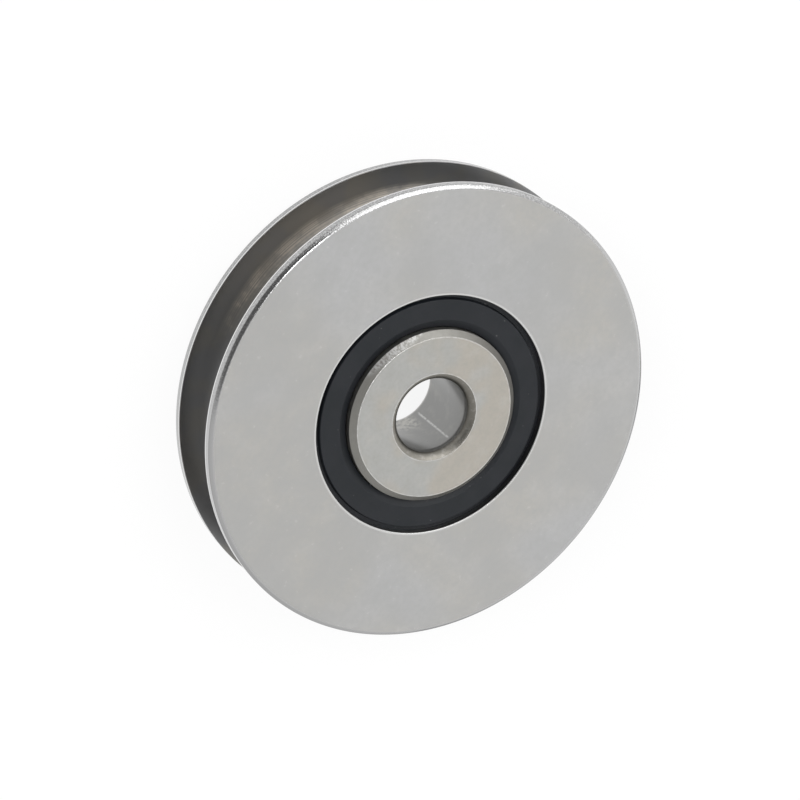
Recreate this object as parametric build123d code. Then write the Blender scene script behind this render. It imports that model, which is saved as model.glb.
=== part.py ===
from build123d import *
import os

# Sealed ball bearing wheel with a U-shaped rope groove. Millimetres.
# The wheel lies flat: its axle runs along Z and the origin is its centre.

# Grooved wheel, which is also the bearing's outer ring
wheel_diameter = 50.0
wheel_width = 9.0
flange_tip = 1.15              # width of each flange at the rim
groove_wall = 2.0              # straight wall before the round bottom starts
rim_chamfer_radial = 0.4
rim_chamfer_axial = 0.25
opening_chamfer = 0.05         # broken edge only

# Inner ring, which is also the hub
bore_diameter = 8.0
hub_diameter = 19.0
hub_proud = 0.5                # how far the hub stands out of each flange face
hub_corner_radial = 0.65       # flat chamfer
hub_corner_axial = 0.55
bore_corner_radial = 0.8       # rounded, tangent to the bore
bore_corner_axial = 1.15

# Balls and raceways
ball_diameter = 4.7625         # 3/16 inch
ball_count = 8
ball_play = 0.02               # gap between a ball and the bottom of each raceway
race_depth = 0.9               # how far each raceway is cut below its shoulder
inner_race_share = 0.515       # raceway radius as a share of the ball's diameter
outer_race_share = 0.525

# Stamped ribbon cage
cage_sheet = 0.45
cage_width = 2.0               # width of the ribbon, along the radius
pocket_clearance = 0.12
pocket_bend = 0.25             # bend between a pocket and the flat beside it
rivet_diameter = 0.8
rivet_head_diameter = 1.5
rivet_head_height = 0.3
rivet_clearance = 0.02

# Rubber seals
seal_recess = 0.36             # seal face below the flange face
seal_thickness = 0.7
seal_step = 0.7                # from the race shoulder out to the seal opening
seal_seat_depth = 1.5          # flange face to the shoulder that backs the seal
seal_groove_start = 0.8        # flange face to the snap groove
seal_groove_depth = 0.6
seal_fit = 0.02                # gap round the bead in its snap groove
seal_gutter = 0.6              # sunk ring between the seal's flat and the opening
seal_gutter_slope = 0.12
seal_lip_width = 0.9
seal_lip_drop = 0.34
seal_lip_thickness = 0.3
seal_lip_clearance = 0.08
seal_edge_round = 0.1

# Worked out from the sizes above
wheel_radius = wheel_diameter / 2
half_width = wheel_width / 2
groove_radius = half_width - flange_tip
bore_radius = bore_diameter / 2
hub_radius = hub_diameter / 2
hub_end = half_width + hub_proud
ball_radius = ball_diameter / 2
pitch_radius = hub_radius - race_depth + ball_play + ball_radius
shoulder_radius = pitch_radius + ball_radius + ball_play - race_depth
opening_radius = shoulder_radius + seal_step
ball_spacing = 360 / ball_count


def turned(section):
    """Solid turned about Z from a section drawn as (radius, height)."""
    return revolve(Plane.XZ * section, Axis.Z)


def both_ends(half):
    """A section's upper half joined to its mirror image."""
    return half + mirror(half, Plane.XZ)


def around(shape, start=0.0):
    """Copies of a shape at the pitch radius, one for each ball."""
    turns = [start + ball_spacing * n for n in range(ball_count)]
    return [Rot(0, 0, turn) * Pos(pitch_radius, 0, 0) * shape for turn in turns]


def rope_groove():
    """Section of the U groove: straight walls and a full round bottom."""
    walls = Pos(wheel_radius, 0) * Rectangle(2 * groove_wall, 2 * groove_radius)
    bottom = Pos(wheel_radius - groove_wall, 0) * Circle(groove_radius)
    return walls + bottom


def seal_seat():
    """Section of one seal's opening, snap groove and backing shoulder."""
    groove_top = half_width - seal_groove_start
    seat = half_width - seal_seat_depth
    deepest = opening_radius + seal_groove_depth
    inside = shoulder_radius - seal_step
    return Polygon(
        (inside, half_width),
        (inside, seat),
        (deepest, seat),
        (deepest, groove_top),
        (opening_radius, groove_top),
        (opening_radius, half_width - opening_chamfer),
        (opening_radius + opening_chamfer, half_width),
        align=None,
    )


def grooved_wheel():
    """The wheel, with the rope groove outside and the outer raceway inside."""
    half = Polygon(
        (shoulder_radius, 0),
        (shoulder_radius, half_width),
        (wheel_radius - rim_chamfer_radial, half_width),
        (wheel_radius, half_width - rim_chamfer_axial),
        (wheel_radius, 0),
        align=None,
    )
    race_radius = outer_race_share * ball_diameter
    race_centre = pitch_radius + ball_radius + ball_play - race_radius
    raceway = Pos(race_centre, 0) * Circle(race_radius)
    return turned(both_ends(half) - rope_groove() - raceway - both_ends(seal_seat()))


def inner_ring():
    """The hub, with the bore inside and the inner raceway outside."""
    bore_wall_end = (bore_radius, hub_end - bore_corner_axial)
    side_end = (hub_radius, hub_end - hub_corner_axial)
    face_inside = (bore_radius + bore_corner_radial, hub_end)
    face_outside = (hub_radius - hub_corner_radial, hub_end)
    outline = [
        Line((bore_radius, 0), bore_wall_end),
        TangentArc(bore_wall_end, face_inside, tangent=(0, 1)),
        Line(face_inside, face_outside),
        Line(face_outside, side_end),
        Line(side_end, (hub_radius, 0)),
        Line((hub_radius, 0), (bore_radius, 0)),
    ]
    race_radius = inner_race_share * ball_diameter
    race_centre = pitch_radius - ball_radius - ball_play + race_radius
    raceway = Pos(race_centre, 0) * Circle(race_radius)
    return turned(both_ends(make_face(outline)) - raceway)


def front_seal():
    """One moulded ring: running lip, flat, sunk gutter and snap bead."""
    face = half_width - seal_recess
    back = face - seal_thickness
    lip_radius = hub_radius + seal_lip_clearance
    lip_end = hub_radius + seal_lip_width
    flat_end = opening_radius - seal_gutter
    bead_top = half_width - seal_groove_start - seal_fit
    bead_back = half_width - seal_seat_depth + seal_fit
    bead_radius = opening_radius + seal_groove_depth - seal_fit
    outline = Polygon(
        (lip_radius, face - seal_lip_drop),
        (lip_end, face),
        (flat_end, face),
        (flat_end + seal_gutter_slope, bead_top),
        (bead_radius, bead_top),
        (bead_radius, bead_back),
        (flat_end, bead_back),
        (flat_end - seal_gutter_slope, back),
        (lip_end, back),
        (lip_radius, face - seal_lip_drop - seal_lip_thickness),
        align=None,
    )
    edges = [v for v in outline.vertices() if v.Y > face - seal_edge_round]
    return turned(fillet(edges, seal_edge_round))


def ball():
    return Sphere(ball_radius)


def ribbon_blank(width, height):
    """Ring of a given width on the pitch circle, standing on the middle plane."""
    on_plane = (Align.CENTER, Align.CENTER, Align.MIN)
    outside = Cylinder(pitch_radius + width / 2, height, align=on_plane)
    return outside - Cylinder(pitch_radius - width / 2, height, align=on_plane)


def cage_front_half():
    """Ribbon pressed into a round pocket over each ball, flat between them."""
    inside = ball_radius + pocket_clearance
    outside = inside + cage_sheet
    sheet = ribbon_blank(4 * inside, cage_sheet) + around(Sphere(outside))
    feet = sheet.edges().filter_by(GeomType.CIRCLE).filter_by_position(Axis.Z, cage_sheet, cage_sheet)
    bends = [foot for foot in feet if foot.radius < outside]
    ribbon = fillet(bends, pocket_bend) & ribbon_blank(cage_width, outside)
    holes = around(Cylinder(rivet_diameter / 2 + rivet_clearance, 4 * cage_sheet), ball_spacing / 2)
    return ribbon - around(Sphere(inside)) - holes


def cage_rivets():
    """Short rivets with a domed head on each side of the flats."""
    shank = rivet_diameter / 2
    head = rivet_head_diameter / 2
    top = cage_sheet + rivet_head_height
    outline = [
        Line((0, 0), (shank, 0)),
        Line((shank, 0), (shank, cage_sheet)),
        Line((shank, cage_sheet), (head, cage_sheet)),
        TangentArc((0, top), (head, cage_sheet), tangent=(1, 0)),
        Line((0, top), (0, 0)),
    ]
    rivet = turned(both_ends(make_face(outline)))
    return Compound(children=around(rivet, ball_spacing / 2))


pieces = {
    "grooved_wheel": grooved_wheel(),
    "inner_ring": inner_ring(),
    "front_seal": front_seal(),
    "back_seal": mirror(front_seal(), Plane.XY),
    "cage_front_half": cage_front_half(),
    "cage_back_half": mirror(cage_front_half(), Plane.XY),
    "cage_rivets": cage_rivets(),
}
for number, placed in enumerate(around(ball()), start=1):
    pieces[f"ball_{number}"] = placed

os.makedirs("parts", exist_ok=True)
for name, piece in pieces.items():
    export_step(piece, f"parts/{name}.step")
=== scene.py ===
import math

import bmesh
import bpy
from mathutils import Matrix, Vector


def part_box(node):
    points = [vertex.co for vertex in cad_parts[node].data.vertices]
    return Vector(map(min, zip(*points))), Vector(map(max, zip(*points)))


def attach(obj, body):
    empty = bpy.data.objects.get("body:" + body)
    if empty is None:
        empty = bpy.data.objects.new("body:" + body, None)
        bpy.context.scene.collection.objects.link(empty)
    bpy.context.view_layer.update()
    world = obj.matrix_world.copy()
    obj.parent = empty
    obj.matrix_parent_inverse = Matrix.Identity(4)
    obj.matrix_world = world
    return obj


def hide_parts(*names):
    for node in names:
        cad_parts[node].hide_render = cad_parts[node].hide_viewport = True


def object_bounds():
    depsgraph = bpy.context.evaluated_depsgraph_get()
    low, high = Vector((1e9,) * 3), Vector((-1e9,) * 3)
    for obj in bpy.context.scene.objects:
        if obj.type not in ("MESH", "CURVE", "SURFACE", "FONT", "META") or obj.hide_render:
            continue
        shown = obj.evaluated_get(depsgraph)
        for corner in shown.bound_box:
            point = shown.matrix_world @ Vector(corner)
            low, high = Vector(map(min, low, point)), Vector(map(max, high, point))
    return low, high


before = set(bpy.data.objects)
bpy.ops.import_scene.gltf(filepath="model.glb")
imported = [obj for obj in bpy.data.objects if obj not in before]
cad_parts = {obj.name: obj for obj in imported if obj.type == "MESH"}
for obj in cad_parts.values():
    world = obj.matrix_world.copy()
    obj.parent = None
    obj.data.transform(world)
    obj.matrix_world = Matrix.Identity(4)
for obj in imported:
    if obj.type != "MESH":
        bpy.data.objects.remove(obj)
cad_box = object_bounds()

# The camera of the photograph. The wheel lies flat here, so the camera looks down
# on it from the same side of the wheel, and is rolled until its picture has the
# photograph's upright.
mm = 0.001
camera_place = Vector((-0.007, -189.974, 274.206)) * mm
camera_aim = Vector((0.850, -4.374, 4.459)) * mm
camera_roll = math.radians(129.417)
focal_in_pixels = 3192.0
picture_width = 800.0
sensor_width = 36.0

scene = bpy.context.scene


def add_object(name, data):
    """Adds an object to the scene, at the origin, unturned and unscaled."""
    made = bpy.data.objects.new(name, data)
    scene.collection.objects.link(made)
    return made


camera = add_object("camera", bpy.data.cameras.new("camera"))
camera.data.sensor_width = sensor_width
camera.data.lens = focal_in_pixels * sensor_width / picture_width
camera.data.clip_start = 1 * mm
camera.location = camera_place
upright = (camera_aim - camera_place).to_track_quat("-Z", "Y")
camera.rotation_mode = "QUATERNION"
camera.rotation_quaternion = upright @ Matrix.Rotation(camera_roll, 3, "Z").to_quaternion()
scene.camera = camera

# Table top: a plain pale board under the wheel, wide enough for every view. The
# camera and the steel see it white, and it keeps a soft shadow of the wheel.
table_half = 1500 * mm
table_height = cad_box[0].z
board_colour = (0.80, 0.80, 0.80, 1)
board_grain_colour = (0.83, 0.83, 0.83, 1)
board_roughness = 0.9
board_glow = 0.90
near_board = 60              # the steel sees the board bright near the wheel, dim far off
far_board = 130
far_board_glow = 0.4


class Number:
    """A value in a node tree: an expression on it adds its Math nodes."""

    def __init__(self, nodes, socket):
        self.nodes = nodes
        self.socket = socket

    def maths(self, operation, first, second=0.0):
        return self.nodes.node("ShaderNodeMath", {"operation": operation}, {0: first, 1: second})

    def __add__(self, other):
        return self.maths("ADD", self, other)

    def __radd__(self, other):
        return self.maths("ADD", other, self)

    def __sub__(self, other):
        return self.maths("SUBTRACT", self, other)

    def __rsub__(self, other):
        return self.maths("SUBTRACT", other, self)

    def __mul__(self, other):
        return self.maths("MULTIPLY", self, other)

    def __rmul__(self, other):
        return self.maths("MULTIPLY", other, self)

    def __abs__(self):
        return self.maths("ABSOLUTE", self)

    def root(self):
        return self.maths("SQRT", self)

    def between(self, start, end):
        """0 up to start, 1 from end on, smooth from one to the other. Start may be higher."""
        settings = {"interpolation_type": "SMOOTHSTEP"}
        return self.nodes.node("ShaderNodeMapRange", settings, {0: self, 1: start, 2: end})


class Nodes:
    """A node tree of a material or of the world."""

    def __init__(self, tree):
        self.tree = tree

    def node(self, kind, settings, sockets, output=0):
        """Adds a node. Its settings are set first, then its sockets' values or links."""
        made = self.tree.nodes.new(kind)
        for key, value in settings.items():
            setattr(made, key, value)
        for key, value in sockets.items():
            if isinstance(value, Number):
                self.tree.links.new(value.socket, made.inputs[key])
            else:
                made.inputs[key].default_value = value
        return Number(self, made.outputs[output])

    def vector(self, x, y, z):
        return self.node("ShaderNodeCombineXYZ", {}, {0: x, 1: y, 2: z})

    def along(self, vector, aim):
        """How far a vector goes in a direction."""
        settings = {"operation": "DOT_PRODUCT"}
        return self.node("ShaderNodeVectorMath", settings, {0: vector, 1: aim}, output=1)

    def noise(self, vector, scale, detail=2.0, rough=0.5):
        sockets = {"Vector": vector, "Scale": scale, "Detail": detail, "Roughness": rough}
        return self.node("ShaderNodeTexNoise", {}, sockets)

    def mix(self, share, first, second):
        """Colour between two colours. The Mix node keeps colours in sockets 6, 7 and 2."""
        sockets = {0: share, 6: first, 7: second}
        return self.node("ShaderNodeMix", {"data_type": "RGBA"}, sockets, output=2)


class Finish(Nodes):
    """The material of one kind of surface, which knows its places in millimetres."""

    def __init__(self, name, metallic):
        self.material = bpy.data.materials.new(name)
        self.material.use_nodes = True
        super().__init__(self.material.node_tree)
        self.shader = self.tree.nodes["Principled BSDF"]
        self.shader.inputs["Metallic"].default_value = metallic
        place = self.node("ShaderNodeTexCoord", {}, {}, output="Object")
        to_mm = {"Vector": place, "Scale": 1 / mm}
        self.place = self.node("ShaderNodeVectorMath", {"operation": "SCALE"}, to_mm)
        x, y, z = (self.towards(axis) for axis in ((1, 0, 0), (0, 1, 0), (0, 0, 1)))
        self.radius = (x * x + y * y).root()
        self.height = abs(z)

    def towards(self, aim):
        """How far the surface lies from the wheel's middle in a direction."""
        return self.along(self.place, aim)

    def mottle(self, scale, detail=2.0, rough=0.5):
        """Noise over the surface, where scale is about how many blotches fill 1 mm."""
        return self.noise(self.place, scale, detail, rough)

    def paint(self, socket, value):
        """Links what varies over the surface to one of the shader's sockets."""
        self.tree.links.new(value.socket, self.shader.inputs[socket])

    def relief(self, height, depth):
        """Normal of a surface raised by height, where 1 stands for depth in millimetres."""
        return self.node("ShaderNodeBump", {}, {"Height": height, "Distance": depth * mm})


def board_finish():
    """Matt board that the camera and the steel see lit up to white."""
    finish = Finish("pale_board", metallic=0.0)
    finish.shader.inputs["Roughness"].default_value = board_roughness
    grain = finish.mottle(0.8)
    finish.paint("Base Color", finish.mix(grain, board_colour, board_grain_colour))
    camera_ray, glossy_ray, through_ray = (
        finish.node("ShaderNodeLightPath", {}, {}, output=ray)
        for ray in ("Is Camera Ray", "Is Glossy Ray", "Is Transmission Ray")
    )
    far = finish.radius.between(near_board, far_board) * (1 - camera_ray)
    glow = finish.node("ShaderNodeEmission", {}, {"Strength": 1 - far * (1 - far_board_glow)})
    board = Number(finish, finish.shader.outputs[0])
    seen = (camera_ray + glossy_ray + through_ray) * board_glow
    lit = finish.node("ShaderNodeMixShader", {}, {0: seen, 1: board, 2: glow})
    finish.tree.links.new(lit.socket, finish.tree.nodes["Material Output"].inputs["Surface"])
    return finish.material


table_corners = [
    (x * table_half, y * table_half, table_height)
    for x, y in ((-1, -1), (1, -1), (1, 1), (-1, 1))
]
table_mesh = bpy.data.meshes.new("table_top")
table_mesh.from_pydata(table_corners, [], [(0, 1, 2, 3)])
table_mesh.materials.append(board_finish())
table = add_object("table_top", table_mesh)

# Light: an even white tent. Ground steel shows what stands round it, so the tent is
# dim where the camera stands and low on the left, and holds a wide and a small lamp.
# Directions are given as they lie in the photograph: right, up and to the front.
photo_right = Vector((-0.7035, 0.7119, 0))
photo_up = Vector((-0.7119, -0.7035, 0))
photo_front = Vector((0, 0, 1))


def direction(right, up, front=0.0):
    """Unit vector in the scene, from how it lies in the photograph."""
    return (photo_right * right + photo_up * up + photo_front * front).normalized()


tent_level = 0.90
tent_rise = 0.25             # added at the right of the tent, taken away at its left
camera_side = direction(-0.40, 0.28, 0.87)
camera_side_dim = 0.76
low_left = direction(-0.75, -0.65)
low_left_dim = 0.15
wide_lamp = direction(0.345, 0.50, 0.79)
wide_lamp_glow = 1.7
small_lamp = direction(0.10, 0.03, 0.99)
small_lamp_glow = 9.0


def tent():
    """World light. What the camera sees of it is plain white."""
    world = bpy.data.worlds.new("tent")
    world.use_nodes = True
    sky = Nodes(world.node_tree)
    ray = sky.node("ShaderNodeTexCoord", {}, {}, output="Generated")

    def patch(aim, outer, inner):
        """1 within an inner angle of a direction, fading to 0 at an outer angle."""
        start, end = (math.cos(math.radians(angle)) for angle in (outer, inner))
        return sky.along(ray, aim).between(start, end)

    dim = 1 - patch(camera_side, outer=33, inner=19) * camera_side_dim
    left = sky.along(ray, low_left).between(0.0, 0.5)
    low = sky.along(ray, photo_front).between(0.72, 0.35)
    wide = patch(wide_lamp, outer=23, inner=19) * wide_lamp_glow
    small = patch(small_lamp, outer=5, inner=4) * small_lamp_glow
    level = tent_level + sky.along(ray, photo_right) * tent_rise
    light = level * dim * (1 - left * low * low_left_dim) + (wide + small)
    camera_ray = sky.node("ShaderNodeLightPath", {}, {}, output="Is Camera Ray")
    strength = camera_ray + (1 - camera_ray) * light
    background = world.node_tree.nodes["Background"]
    background.inputs["Color"].default_value = (1.0, 1.0, 1.0, 1)
    world.node_tree.links.new(strength.socket, background.inputs["Strength"])
    return world


scene.world = tent()
scene.view_settings.view_transform = "Standard"

# Key lamp: a soft sun from the upper left. It lights the rubber and the table top,
# and the steel doesn't show it.
key_side = direction(-0.7, 0.5, 0.6)
key_energy = 2.2
key_spread = math.radians(40)

key_lamp = add_object("key_lamp", bpy.data.lights.new("key_lamp", "SUN"))
key_lamp.data.energy = key_energy
key_lamp.data.angle = key_spread
key_lamp.visible_glossy = False
key_lamp.rotation_mode = "QUATERNION"
key_lamp.rotation_quaternion = (-key_side).to_track_quat("-Z", "Y")

# Grooved wheel. One ring of through-hardened bearing steel: the rope groove and rim
# are turned, the flange faces ground flat, and inside it is the bearing's outer ring.
wheel_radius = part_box("grooved_wheel")[1].x / mm
half_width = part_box("grooved_wheel")[1].z / mm
flange_tip = 1.15            # width of each flange at the rim
groove_wall = 2.0            # straight wall before the round bottom starts
rim_chamfer = (0.4, 0.25)    # along the radius, along the axle
opening_radius = 13.20
opening_chamfer = 0.05
shoulder_radius = 12.50      # race shoulder, which also backs the seal
snap_depth = 0.6             # snap groove, outwards from the seal opening
snap_start = 0.8             # flange face to the snap groove
seat_depth = 1.5             # flange face to the shoulder that backs the seal
ball_play = 0.02             # gap between a ball and the bottom of each raceway
outer_race_share = 0.525     # raceway radius as a share of the ball's diameter

ball_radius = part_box("ball_1")[1].z / mm
pitch_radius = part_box("ball_1")[0].x / mm + ball_radius
outer_race_radius = outer_race_share * 2 * ball_radius
groove_radius = half_width - flange_tip
groove_centre = wheel_radius - groove_wall
groove_bottom = groove_centre - groove_radius
rim_inside = wheel_radius - rim_chamfer[0]
snap_radius = opening_radius + snap_depth
snap_height = half_width - snap_start
seat_height = half_width - seat_depth
weld = 0.0005 * mm           # points closer than this are one point

face_cool = (0.465, 0.466, 0.467, 1)
face_warm = (0.470, 0.460, 0.436, 1)
face_pale = (0.510, 0.510, 0.500, 1)
face_shade = (0.425, 0.425, 0.420, 1)
# Bright colour of burnished specks and of the painted highlight lines
burnish_and_highlight = (0.66, 0.66, 0.65, 1)
rim_dark = (0.36, 0.36, 0.36, 1)
rim_bright = (0.54, 0.54, 0.54, 1)
# White of the painted glint on the rim's edge and of the painted highlight line at the groove's
# mouth
painted_highlight_white = (0.90, 0.90, 0.90, 1)
groove_grey = (0.292, 0.292, 0.295, 1)
groove_warm = (0.310, 0.303, 0.290, 1)
# Brown of the groove's film, raised to a painted highlight
groove_brown_highlight = (0.66, 0.61, 0.54, 1)

# Where marks and painted highlights lie: a direction, and how far towards it they start and are
# full
groove_highlight_side = direction(-0.47, 0.88)
groove_highlight_reach = (19.0, 22.5)
rim_wear = direction(-0.17, 0.98)
wear_reach = (5.0, 20.0)
# A painted glint on the rim's edge lies towards this side
rim_glint_side = direction(-0.574, 0.819)
glint_reach = (wheel_radius - 0.65, wheel_radius - 0.55)
turning_lines = 7            # in a millimetre
ground_relief = 0.004        # depth of the marks on ground and turned steel


def corner(before, at, after, rounding, steps=6):
    """Points that take a corner of an outline with a small arc, with a guard on each side."""
    before, at, after = Vector(before), Vector(at), Vector(after)
    back = (before - at).normalized()
    on = (after - at).normalized()
    half_angle = back.angle(on) / 2
    reach = rounding / math.tan(half_angle)
    centre = at + (back + on).normalized() * rounding / math.sin(half_angle)
    start = at + back * reach - centre
    turn = start.angle_signed(at + on * reach - centre)
    bend = [centre + Matrix.Rotation(-turn * n / steps, 2) @ start for n in range(steps + 1)]
    guard = rounding / 3
    return [at + back * (reach + guard), *bend, at + on * (reach + guard)]


def outline(corners):
    """Points of an outline through corners (radius, height, rounding)."""
    points = []
    for n, (radius, height, rounding) in enumerate(corners):
        if rounding and 0 < n < len(corners) - 1:
            points += corner(corners[n - 1][:2], (radius, height), corners[n + 1][:2], rounding)
        else:
            points.append(Vector((radius, height)))
    return points


def arc(centre_radius, radius, first, last, steps):
    """Points of an arc about a centre on the middle plane, with its angles in degrees."""
    angles = [math.radians(first + (last - first) * n / steps) for n in range(steps + 1)]
    return [Vector((centre_radius + radius * math.cos(a), radius * math.sin(a))) for a in angles]


def both_ends(upper):
    """A closed outline from its upper half, which starts and ends on the middle plane."""
    return upper + [Vector((point.x, -point.y)) for point in reversed(upper[1:-1])]


def link(tree, pairs):
    for start, end in pairs:
        tree.links.new(start, end)


def geometry_tree(name, shape, inputs):
    """A geometry tree with named inputs, their sockets, and the socket for its shape.

    Instances in the shape are made real, and the whole is given its finish.
    """
    tree = bpy.data.node_groups.new(name, "GeometryNodeTree")
    for socket, kind in (*inputs, ("Finish", "NodeSocketMaterial")):
        tree.interface.new_socket(socket, in_out="INPUT", socket_type=kind)
    tree.interface.new_socket(shape, in_out="OUTPUT", socket_type="NodeSocketGeometry")
    given = tree.nodes.new("NodeGroupInput")
    plain = tree.nodes.new("GeometryNodeRealizeInstances")
    coat = tree.nodes.new("GeometryNodeSetMaterial")
    result = tree.nodes.new("NodeGroupOutput")
    link(tree, (
        (plain.outputs[0], coat.inputs["Geometry"]),
        (given.outputs["Finish"], coat.inputs["Material"]),
        (coat.outputs[0], result.inputs[shape]),
    ))
    return tree, given.outputs, plain.inputs["Geometry"]


def turning_tree():
    """Geometry nodes that turn a closed outline, drawn upright, about Z.

    The outline is swept round a circular rail, so it is first moved inwards by the
    rail's radius.
    """
    tree, given, shape = geometry_tree("turned_ring", "Ring", (
        ("Outline", "NodeSocketGeometry"),
        ("Steps Around", "NodeSocketInt"),
        ("Rail Radius", "NodeSocketFloat"),
    ))
    inward = tree.nodes.new("ShaderNodeMath")
    inward.operation = "MULTIPLY"
    inward.inputs[1].default_value = -1.0
    shift = tree.nodes.new("ShaderNodeCombineXYZ")
    lay = tree.nodes.new("GeometryNodeTransform")
    lay.inputs["Rotation"].default_value = (math.pi / 2, 0, 0)
    profile = tree.nodes.new("GeometryNodeMeshToCurve")
    rail = tree.nodes.new("GeometryNodeCurvePrimitiveCircle")
    turn = tree.nodes.new("GeometryNodeCurveToMesh")
    link(tree, (
        (given["Rail Radius"], inward.inputs[0]),
        (inward.outputs[0], shift.inputs["X"]),
        (shift.outputs[0], lay.inputs["Translation"]),
        (given["Outline"], lay.inputs["Geometry"]),
        (lay.outputs[0], profile.inputs["Mesh"]),
        (given["Steps Around"], rail.inputs["Resolution"]),
        (given["Rail Radius"], rail.inputs["Radius"]),
        (rail.outputs[0], turn.inputs["Curve"]),
        (profile.outputs[0], turn.inputs["Profile Curve"]),
        (turn.outputs[0], shape),
    ))
    return tree


def smooth(mesh, crease=20):
    """Merges doubles, turns faces outwards and shades smooth up to a crease in degrees."""
    work = bmesh.new()
    work.from_mesh(mesh)
    bmesh.ops.remove_doubles(work, verts=work.verts, dist=weld)
    bmesh.ops.recalc_face_normals(work, faces=work.faces)
    work.to_mesh(mesh)
    work.free()
    mesh.shade_smooth()
    mesh.set_sharp_from_angle(angle=math.radians(crease))


def settle(name, source, tree, values):
    """Runs a geometry tree on a mesh and returns its result as a plain mesh object."""
    piece = add_object(name, source)
    modifier = piece.modifiers.new(tree.name, "NODES")
    modifier.node_group = tree
    for item in tree.interface.items_tree:
        if item.in_out == "INPUT" and item.name in values:
            modifier[item.identifier] = values[item.name]
    evaluated = piece.evaluated_get(bpy.context.evaluated_depsgraph_get())
    result = bpy.data.meshes.new_from_object(evaluated)
    piece.modifiers.remove(modifier)
    piece.data = result
    result.name = name
    smooth(result)
    return piece


turning = turning_tree()


def turned(name, points, finish, steps=288):
    """A piece turned about Z from a closed outline in millimetres."""
    drawing = bpy.data.meshes.new(name + "_outline")
    edges = [(n, (n + 1) % len(points)) for n in range(len(points))]
    drawing.from_pydata([(point.x * mm, 0, point.y * mm) for point in points], edges, [])
    rail = max(point.x for point in points) * mm
    values = {"Steps Around": steps, "Rail Radius": rail, "Finish": finish}
    return settle(name, drawing, turning, values)


def wheel_outline():
    """Rope groove, rim, flange face, seal seat and raceway."""
    race_centre = pitch_radius + ball_radius + ball_play - outer_race_radius
    race_edge = math.degrees(math.acos((shoulder_radius - race_centre) / outer_race_radius))
    race_height = outer_race_radius * math.sin(math.radians(race_edge))
    rim = outline([
        (groove_centre, groove_radius, 0),
        (wheel_radius, groove_radius, 0.06),
        (wheel_radius, half_width - rim_chamfer[1], 0.12),
        (rim_inside, half_width, 0.50),
        (opening_radius + opening_chamfer, half_width, 0.05),
        (opening_radius, half_width - opening_chamfer, 0.02),
        (opening_radius, snap_height, 0.03),
        (snap_radius, snap_height, 0.03),
        (snap_radius, seat_height, 0.05),
        (shoulder_radius, seat_height, 0.08),
        (shoulder_radius, race_height, 0),
    ])
    bottom = arc(groove_centre, groove_radius, first=180, last=90, steps=30)
    raceway = arc(race_centre, outer_race_radius, first=race_edge, last=0, steps=16)
    return both_ends(bottom[:-1] + rim[:-1] + raceway)


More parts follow.
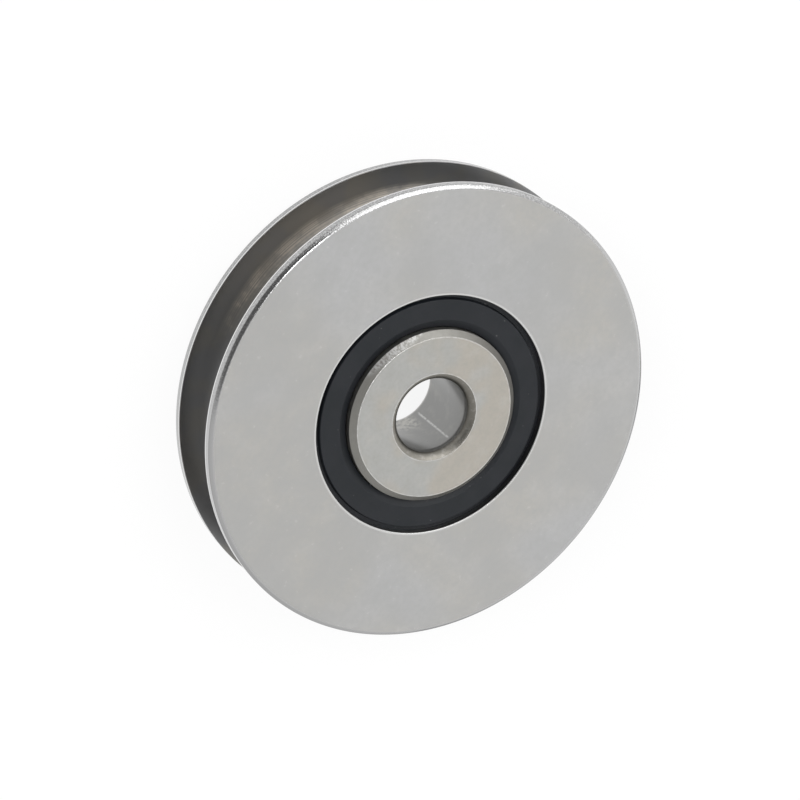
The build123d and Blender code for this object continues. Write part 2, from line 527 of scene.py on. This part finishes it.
def wheel_finish():
    """Satin ground faces, turned groove and tumbled rim, with painted highlights on edges and in
    the groove.
    """
    finish = Finish("ground_steel", metallic=1.0)
    radius, height = finish.radius, finish.height
    patch = finish.mottle(0.45, detail=4.0, rough=0.6)
    speck = finish.mottle(1.6, detail=3.0, rough=0.6)
    dents = finish.mottle(5.0, detail=3.0, rough=0.7)
    grain = finish.mottle(6.0, detail=3.0)
    across = finish.vector(radius * turning_lines, height * turning_lines, 0.0)
    lines = finish.noise(across, 1.0, detail=4.0, rough=0.7)

    # Masks: 1 on the part of the wheel that each is named for
    groove = height.between(groove_radius + 0.12, groove_radius + 0.05)
    groove = groove * radius.between(groove_bottom - 1.5, groove_bottom - 1.0)
    bottom = groove * radius.between(groove_centre + 0.1, groove_centre - 0.7)
    rim = radius.between(rim_inside - 0.10, rim_inside - 0.02) * (1 - groove)
    mouth_highlight = height.between(groove_radius + 0.26, groove_radius + 0.18) * rim
    chamfer = rim * radius.between(wheel_radius - 0.15, wheel_radius - 0.25)
    opening_highlight = radius.between(opening_radius + 0.26, opening_radius + 0.16)
    opening_highlight = opening_highlight * height.between(half_width - 0.2, half_width - 0.1)
    worn = finish.towards(rim_wear).between(*wear_reach)

    # Ground faces: cool and warm clouds, pale and dull patches, fine specks, and a painted
    # highlight ring at the seal opening
    cloud = finish.mottle(0.09, detail=1.0)
    haze = finish.mottle(0.13)
    steel = finish.mix(cloud.between(0.35, 0.65), face_cool, face_warm)
    steel = finish.mix(patch.between(0.45, 0.75) * 0.4, steel, face_pale)
    steel = finish.mix(patch.between(0.50, 0.25) * 0.5, steel, face_shade)
    steel = finish.mix(haze.between(0.40, 0.65) * 0.6, steel, face_shade)
    steel = finish.mix(speck.between(0.58, 0.36) * 0.35, steel, face_shade)
    steel = finish.mix(speck.between(0.66, 0.72) * 0.2, steel, burnish_and_highlight)
    steel = finish.mix(opening_highlight * 0.8, steel, burnish_and_highlight)

    # Rim: even where it is tumbled, speckled where it is worn, with a painted glint on its edge and
    # a painted highlight line at the groove's mouth
    tumbled = (1 - worn) * 0.7 + worn * dents.between(0.42, 0.66)
    steel = finish.mix(rim, steel, finish.mix(tumbled, rim_dark, rim_bright))
    edge_glint = radius.between(rim_inside - 0.18, rim_inside - 0.12)
    edge_glint = edge_glint * radius.between(rim_inside + 0.06, rim_inside)
    edge_glint = edge_glint * dents.between(0.42, 0.52)
    edge_glint = edge_glint * finish.towards(rim_glint_side).between(*glint_reach)
    steel = finish.mix(edge_glint, steel, painted_highlight_white)
    steel = finish.mix(mouth_highlight, steel, painted_highlight_white)

    # Groove: patchy grey, and a brown film on one side of the bottom, brightened as a painted
    # highlight, which the turning marks break up
    brown_highlight = bottom * (finish.towards(groove_highlight_side) + patch * 4.0).between(*groove_highlight_reach)
    brown_highlight = brown_highlight * (0.45 + patch.between(0.42, 0.62) * 0.55)
    film = brown_highlight * (1 - lines.between(0.45, 0.60) * 0.7)
    inside = finish.mix(finish.mottle(0.25).between(0.45, 0.60), groove_grey, groove_warm)
    inside = finish.mix(film, inside, groove_brown_highlight)
    finish.paint("Base Color", finish.mix(groove, steel, inside))

    rough = 0.30 + (patch - 0.5) * 0.08 - rim * 0.12 - chamfer * 0.08 - opening_highlight * 0.06
    rough = rough + bottom * 0.08 + brown_highlight * 0.12 + (dents - 0.5) * rim * worn * 0.2
    finish.paint("Roughness", rough)
    marks = grain * 0.15 + lines * groove * 1.2
    marks = marks + dents * rim * (1 - chamfer * 0.6) * (1.0 + worn * 5.0)
    finish.paint("Normal", finish.relief(marks, ground_relief))
    return finish.material


wheel = turned("wheel_ring", wheel_outline(), wheel_finish())
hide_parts("grooved_wheel")
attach(wheel, "wheel")

# Hub, which is the bearing's inner ring. Bearing steel, ground on its ends and honed
# in its bore, with a flat outer chamfer and a rounded bore corner.
hub_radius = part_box("inner_ring")[1].x / mm
hub_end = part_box("inner_ring")[1].z / mm
hub_corner = (0.65, 0.55)    # flat chamfer: along the radius, along the axle
bore_radius = 4.0
bore_corner = (0.8, 1.15)    # rounded, tangent to the bore
inner_race_share = 0.515

inner_race_radius = inner_race_share * 2 * ball_radius
chamfer_start = hub_radius - hub_corner[0]
chamfer_foot = hub_end - hub_corner[1]
bend_start = hub_end - bore_corner[1]
bend_end = bore_radius + bore_corner[0]

hub_cool = (0.428, 0.429, 0.414, 1)
hub_warm = (0.448, 0.422, 0.378, 1)
hub_pale = (0.50, 0.49, 0.46, 1)
hub_shade = (0.36, 0.355, 0.33, 1)
# The chamfer's colour, lit and in painted shade
chamfer_lit = (0.350, 0.342, 0.318, 1)
chamfer_shaded = (0.215, 0.208, 0.192, 1)
bore_grey = (0.29, 0.29, 0.285, 1)
# Darker grey of the rounded bore corner
bore_corner_grey = (0.240, 0.229, 0.204, 1)

# Where marks, painted shade and painted highlights lie, as on the wheel
warm_side = direction(0.94, -0.34)
warm_rise = 0.025            # warmth added in a millimetre
# Painted shade on the hub's chamfer deepens towards this side
painted_shade_side = direction(1, -0.4)
painted_shade_reach = (-4.0, 5.0)
# Brighter brushed streaks at the foot of the hub's chamfer lie towards this side
chamfer_streak_side = direction(-0.50, 0.87)
streak_reach = (hub_radius - 1.0, hub_radius - 0.45)
streak_lines = 5              # in a millimetre
# A painted highlight line along the bore lies towards this side
bore_highlight_side = direction(0.574, -0.819)
highlight_line_reach = (bore_radius - 1.0, bore_radius - 0.5)
highlight_line_ends = (bend_start - 0.05, bend_start - 0.55)
highlight_line_sides = (0.17, 0.02)
# A paler place in the bore's far half lies towards this side
bore_pale_side = direction(0.09, -1)
pale_reach = (bore_radius - 0.35, bore_radius - 0.08)
pale_depth = (0.5, 2.5)


def bore_bend(steps=12):
    """Arc from the bore, tangent to it, to the hub's flat end."""
    radial, axial = bore_corner
    radius = (radial ** 2 + axial ** 2) / (2 * radial)
    centre = Vector((bore_radius + radius, bend_start))
    angles = [math.asin(axial / radius) * n / steps for n in range(steps + 1)]
    return [centre + Vector((-math.cos(a), math.sin(a))) * radius for a in angles]


def hub_outline():
    """Bore, bore corner, end face, chamfer, side and inner raceway."""
    race_centre = pitch_radius - ball_radius - ball_play + inner_race_radius
    race_edge = math.degrees(math.acos((race_centre - hub_radius) / inner_race_radius))
    guard = 0.04
    bore = [Vector((bore_radius, 0)), Vector((bore_radius, bend_start - guard))]
    side = outline([
        (bend_end, hub_end, 0),
        (bend_end + guard, hub_end, 0),
        (chamfer_start, hub_end, 0.10),
        (hub_radius, chamfer_foot, 0.08),
        (hub_radius, inner_race_radius * math.sin(math.radians(race_edge)), 0),
    ])
    raceway = arc(race_centre, inner_race_radius, first=180 - race_edge, last=180, steps=16)
    return both_ends(bore + bore_bend()[:-1] + side[:-1] + raceway)


def hub_finish():
    """Warmer ground steel and a neutral honed bore, with painted shade and painted highlights."""
    finish = Finish("hub_steel", metallic=1.0)
    radius, height = finish.radius, finish.height
    patch = finish.mottle(0.6, detail=5.0, rough=0.6)
    fleck = finish.mottle(2.2, detail=4.0, rough=0.65)
    grain = finish.mottle(6.0, detail=3.0)
    across, upwards = (finish.towards(aim) * streak_lines for aim in (photo_right, photo_up))
    brushed = finish.noise(finish.vector(across, upwards, height), 1.0, detail=3.0)

    # Masks: 1 on the part of the hub that each is named for
    bore = radius.between(bore_radius + 0.06, bore_radius + 0.01)
    bend = radius.between(bend_end + 0.02, bend_end - 0.01) * (1 - bore)
    bore_edge_highlight = radius.between(bore_radius + 0.14, bore_radius + 0.07)
    chamfer = radius.between(chamfer_start - 0.01, chamfer_start + 0.02)
    edge = radius.between(chamfer_start - 0.12, chamfer_start - 0.06) * (1 - chamfer)
    lip = radius.between(bend_end + 0.13, bend_end + 0.07) * (1 - bend) * (1 - bore)
    edge_highlights = (edge + lip) * fleck.between(0.25, 0.60)

    # Ground end: warmer towards one side, with pale and dull patches
    warmth = finish.mottle(0.2) + finish.towards(warm_side) * warm_rise
    steel = finish.mix(warmth.between(0.35, 0.60), hub_cool, hub_warm)
    steel = finish.mix(patch.between(0.50, 0.70) * 0.35, steel, hub_pale)
    steel = finish.mix(patch.between(0.50, 0.30) * 0.3, steel, hub_shade)
    steel = finish.mix(fleck.between(0.56, 0.38) * 0.22, steel, hub_shade)

    # Turned chamfer: painted shade darkens it towards one side, and brighter brushed streaks lie at
    # its foot on another
    streaks = chamfer * finish.towards(chamfer_streak_side).between(*streak_reach)
    streaks = streaks * height.between(chamfer_foot - 0.1, chamfer_foot)
    painted_shade = finish.towards(painted_shade_side).between(*painted_shade_reach)
    slope = finish.mix(painted_shade, chamfer_lit, chamfer_shaded)
    slope = finish.mix(streaks * brushed.between(0.35, 0.60) * 0.85, slope, burnish_and_highlight)
    steel = finish.mix(chamfer, steel, slope)
    # Painted highlight lines round the chamfer's edge and the bore corner's rim
    steel = finish.mix(edge_highlights * 0.6, steel, burnish_and_highlight)

    # Rounded bore corner: darker all round, with a painted highlight line where it runs into the
    # bore
    skin = finish.mix(fleck.between(0.50, 0.70) * 0.3, bore_corner_grey, hub_pale)
    steel = finish.mix(bend, steel, skin)
    steel = finish.mix(bore_edge_highlight * 0.7, steel, burnish_and_highlight)

    # Honed bore: a painted highlight line along it, and a paler place in its far half
    beside = abs(finish.towards(bore_highlight_side.cross(photo_front)))
    highlight_line = beside.between(*highlight_line_sides) * finish.towards(bore_highlight_side).between(*highlight_line_reach)
    highlight_line = highlight_line * height.between(*highlight_line_ends) * fleck.between(0.36, 0.56)
    pale_place = finish.towards(bore_pale_side).between(*pale_reach) * fleck.between(0.40, 0.56)
    pale_place = pale_place * finish.towards(-photo_front).between(*pale_depth)
    honed = finish.mix(patch.between(0.45, 0.70) * 0.2, bore_grey, hub_pale)
    honed = finish.mix(pale_place * 0.8, honed, hub_pale)
    honed = finish.mix(highlight_line * 0.7, honed, burnish_and_highlight)
    finish.paint("Base Color", finish.mix(bore, steel, honed))

    rough = 0.30 + (patch - 0.5) * 0.12 + bend * 0.08 + chamfer * (1 - fleck) * 0.40
    finish.paint("Roughness", rough - streaks * 0.08 - edge_highlights * 0.12)
    marks = grain * 0.2 + (grain * bend + fleck * chamfer + brushed * streaks) * 1.5
    finish.paint("Normal", finish.relief(marks, ground_relief))
    return finish.material


hub = turned("hub_ring", hub_outline(), hub_finish())
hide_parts("inner_ring")
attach(hub, "hub")

# Two seals of black rubber, each moulded as one ring. The bead snaps into the
# wheel's groove, and the thin inner lip runs just clear of the hub.
seal_recess = 0.36           # seal face below the flange face
seal_thickness = 0.7
seal_fit = 0.02              # gap round the bead in its snap groove
seal_gutter = 0.6            # sunk ring between the seal's flat and the opening
gutter_slope = 0.12
lip_width = 0.9
lip_drop = 0.34
lip_thickness = 0.3
lip_clearance = 0.08

rubber_dark = (0.0075, 0.0095, 0.0120, 1)
rubber_grey = (0.0105, 0.0120, 0.0150, 1)
rubber_sheen = 0.3
dust_grey = (0.10, 0.10, 0.10, 1)


def seal_outline():
    """Lip, flat, gutter and bead, and back under them to the lip."""
    seal_face = half_width - seal_recess
    seal_back = seal_face - seal_thickness
    flat_end = opening_radius - seal_gutter
    gutter_floor = snap_height - seal_fit
    bead_radius = snap_radius - seal_fit
    bead_back = seat_height + seal_fit
    lip_radius = hub_radius + lip_clearance
    lip_end = hub_radius + lip_width
    corners = [
        (lip_radius, seal_face - lip_drop, 0.06),
        (lip_end, seal_face, 0.25),
        (flat_end, seal_face, 0.1),
        (flat_end + gutter_slope, gutter_floor, 0.06),
        (bead_radius, gutter_floor, 0.08),
        (bead_radius, bead_back, 0.08),
        (flat_end, bead_back, 0.06),
        (flat_end - gutter_slope, seal_back, 0.06),
        (lip_end, seal_back, 0.2),
        (lip_radius, seal_face - lip_drop - lip_thickness, 0.06),
    ]
    return outline([corners[-1], *corners, corners[0]])[1:-1]


def rubber_finish():
    """Matt black rubber with the fine skin of its mould and a few pale specks."""
    finish = Finish("black_rubber", metallic=0.0)
    finish.shader.inputs["Specular IOR Level"].default_value = rubber_sheen
    skin = finish.mottle(4.0, detail=4.0, rough=0.6)
    cloud = finish.mottle(0.25)
    dust = finish.mottle(2.4, detail=1.0).between(0.76, 0.80)
    colour = finish.mix(cloud.between(0.35, 0.65), rubber_dark, rubber_grey)
    finish.paint("Base Color", finish.mix(dust * 0.6, colour, dust_grey))
    finish.paint("Roughness", 0.46 + (skin - 0.5) * 0.2)
    finish.paint("Normal", finish.relief(skin, depth=0.006))
    return finish.material


black_rubber = rubber_finish()
front_points = seal_outline()
back_points = [Vector((point.x, -point.y)) for point in front_points]
for node, points in (("front_seal", front_points), ("back_seal", back_points)):
    seal = turned(node + "_ring", points, black_rubber)
    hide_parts(node)
    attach(seal, "wheel")

# Eight balls of chrome steel, lapped to a mirror. Each rolls in the two raceways, and
# a pocket of the cage keeps it from its neighbours.
ball_count = 8
ball_steel_light = (0.62, 0.62, 0.62, 1)
ball_steel_dark = (0.56, 0.56, 0.57, 1)


def ball_finish():
    """Mirror-lapped steel with the faintest haze."""
    finish = Finish("lapped_steel", metallic=1.0)
    haze = finish.mottle(1.5, detail=3.0)
    finish.paint("Base Color", finish.mix(haze, ball_steel_dark, ball_steel_light))
    finish.paint("Roughness", 0.06 + haze * 0.05)
    finish.paint("Normal", finish.relief(finish.mottle(12.0), depth=0.0005))
    return finish.material


lapped_steel = ball_finish()
for number in range(1, ball_count + 1):
    low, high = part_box(f"ball_{number}")
    work = bmesh.new()
    bmesh.ops.create_icosphere(work, subdivisions=5, radius=ball_radius * mm)
    bmesh.ops.translate(work, verts=work.verts, vec=(low + high) / 2)
    mesh = bpy.data.meshes.new(f"lapped_ball_{number}")
    work.to_mesh(mesh)
    work.free()
    mesh.shade_smooth()
    mesh.materials.append(lapped_steel)
    ball = add_object(mesh.name, mesh)
    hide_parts(f"ball_{number}")
    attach(ball, f"ball_{number}")

# Cage: two ribbons pressed from steel strip, with a round pocket over each ball and
# flats between them where they are riveted together. Each is its solid's own mesh,
# shaded smooth.
strip_grey = (0.40, 0.40, 0.41, 1)
strip_oiled = (0.34, 0.32, 0.29, 1)


def strip_finish():
    """Cold-rolled strip with drawing marks in its pockets and a film of oil."""
    finish = Finish("pressed_strip", metallic=1.0)
    film = finish.mottle(0.7, detail=3.0)
    drawn = finish.noise(finish.vector(finish.radius * 2, 0.0, finish.height * 9), 1.0, detail=3.0)
    finish.paint("Base Color", finish.mix(film.between(0.3, 0.7), strip_grey, strip_oiled))
    finish.paint("Roughness", 0.28 + film * 0.15)
    finish.paint("Normal", finish.relief(drawn * 0.5 + finish.mottle(6.0) * 0.5, depth=0.006))
    return finish.material


pressed_strip = strip_finish()
for node in ("cage_front_half", "cage_back_half"):
    mesh = bpy.data.objects[node].data.copy()
    mesh.name = node + "_ribbon"
    smooth(mesh, crease=30)
    mesh.materials.clear()
    mesh.materials.append(pressed_strip)
    ribbon = add_object(mesh.name, mesh)
    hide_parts(node)
    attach(ribbon, "cage")

# Eight rivets through the cage's flats. Soft steel wire, with the second head formed
# in place. Both heads are low domes.
rivet_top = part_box("cage_rivets")[1].z / mm
sheet_top = 0.45
rivet_shank = 0.4            # radius of the wire
rivet_head = 0.75            # radius of each head
rivet_colour = (0.46, 0.45, 0.43, 1)
rivet_worn = (0.54, 0.53, 0.51, 1)


def rivet_outline(steps=8):
    """Upper half of a rivet: shank, underside of the head and dome."""
    rise = rivet_top - sheet_top
    dome_radius = (rivet_head ** 2 + rise ** 2) / (2 * rise)
    edge = math.asin(rivet_head / dome_radius)
    centre = rivet_top - dome_radius
    angles = [edge * (1 - n / steps) for n in range(steps + 1)]
    dome = [Vector((dome_radius * math.sin(a), centre + dome_radius * math.cos(a))) for a in angles]
    return [Vector((rivet_shank, 0)), Vector((rivet_shank, sheet_top)), *dome]


def rivet_mesh(steps=32):
    """One rivet, turned about its own axis and mirrored for its second head."""
    work = bmesh.new()
    ring = [work.verts.new((point.x * mm, 0, point.y * mm)) for point in rivet_outline()]
    half = ring + [work.edges.new(pair) for pair in zip(ring, ring[1:])]
    axle = {"axis": (0, 0, 1), "cent": (0, 0, 0)}
    bmesh.ops.spin(work, geom=half, steps=steps, angle=2 * math.pi, **axle)
    bmesh.ops.remove_doubles(work, verts=work.verts, dist=weld)
    whole = work.verts[:] + work.edges[:] + work.faces[:]
    bmesh.ops.mirror(work, geom=whole, axis="Z", merge_dist=weld)
    mesh = bpy.data.meshes.new("rivet")
    work.to_mesh(mesh)
    work.free()
    return mesh


def rivet_finish():
    """Soft wire with the die's marks on its heads."""
    finish = Finish("rivet_wire", metallic=1.0)
    struck = finish.mottle(3.5, detail=3.0)
    finish.paint("Base Color", finish.mix(struck, rivet_colour, rivet_worn))
    finish.paint("Roughness", 0.25 + struck * 0.15)
    finish.paint("Normal", finish.relief(struck, depth=0.01))
    return finish.material


def riveting_tree():
    """Geometry nodes that set copies of a rivet round the pitch circle."""
    tree, given, shape = geometry_tree("rivet_circle", "Rivets", (
        ("Rivet", "NodeSocketGeometry"),
        ("Count", "NodeSocketInt"),
        ("Pitch Radius", "NodeSocketFloat"),
        ("Turn", "NodeSocketFloat"),
    ))
    circle = tree.nodes.new("GeometryNodeMeshCircle")
    angle = tree.nodes.new("ShaderNodeCombineXYZ")
    turn = tree.nodes.new("GeometryNodeTransform")
    copies = tree.nodes.new("GeometryNodeInstanceOnPoints")
    link(tree, (
        (given["Count"], circle.inputs["Vertices"]),
        (given["Pitch Radius"], circle.inputs["Radius"]),
        (given["Turn"], angle.inputs["Z"]),
        (angle.outputs[0], turn.inputs["Rotation"]),
        (circle.outputs[0], turn.inputs["Geometry"]),
        (turn.outputs[0], copies.inputs["Points"]),
        (given["Rivet"], copies.inputs["Instance"]),
        (copies.outputs[0], shape),
    ))
    return tree


riveting = {
    "Count": ball_count,
    "Pitch Radius": pitch_radius * mm,
    "Turn": math.pi / ball_count,
    "Finish": rivet_finish(),
}
rivets = settle("cage_rivet_set", rivet_mesh(), riveting_tree(), riveting)
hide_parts("cage_rivets")
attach(rivets, "cage")
